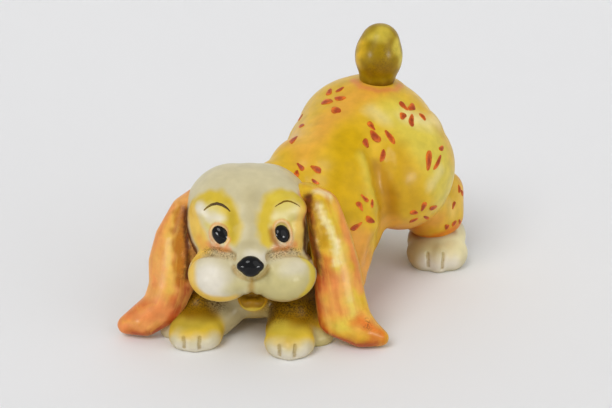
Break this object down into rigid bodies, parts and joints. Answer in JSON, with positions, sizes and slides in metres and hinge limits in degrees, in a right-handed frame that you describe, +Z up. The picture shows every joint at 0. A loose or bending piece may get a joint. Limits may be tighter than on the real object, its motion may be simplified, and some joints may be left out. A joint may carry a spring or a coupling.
{
  "type": "dog figurine",
  "caption": "Hand-painted ceramic puppy figurine in a play bow, long ears spread on the table, rump and tail up, yellow with rust petal marks.",
  "frame": {"origin": "On the table under the middle of the figurine's bounding box.", "axes": "+Z up from the table; the face looks along -Y; the dog's left side is towards +X, where the body swings behind the head."},
  "size_m": [0.1008, 0.0966, 0.0755],
  "materials": {
    "cream_glaze": "satin glaze over cream paint, airbrushed yellow at the edges",
    "yellow_glaze": "satin glaze over yellow paint with orange airbrush and rust petal dabs",
    "orange_glaze": "satin glaze over streaked salmon orange paint",
    "olive_glaze": "satin glaze over olive yellow paint, scuffed",
    "ochre_glaze": "satin glaze over ochre paint",
    "black_gloss": "thick gloss black paint"
  },
  "bodies": {
    "root": {"torso": "yellow_glaze", "head": "cream_glaze", "left_ear": "orange_glaze", "right_ear": "orange_glaze", "left_eye": "black_gloss", "right_eye": "black_gloss", "nose": "black_gloss", "lower_lip": "ochre_glaze", "left_foreleg": "cream_glaze", "right_foreleg": "cream_glaze", "left_hind_leg": "yellow_glaze", "right_hind_leg": "yellow_glaze", "left_hind_paw": "cream_glaze", "right_hind_paw": "cream_glaze", "tail": "olive_glaze"}
  },
  "joints": []
}
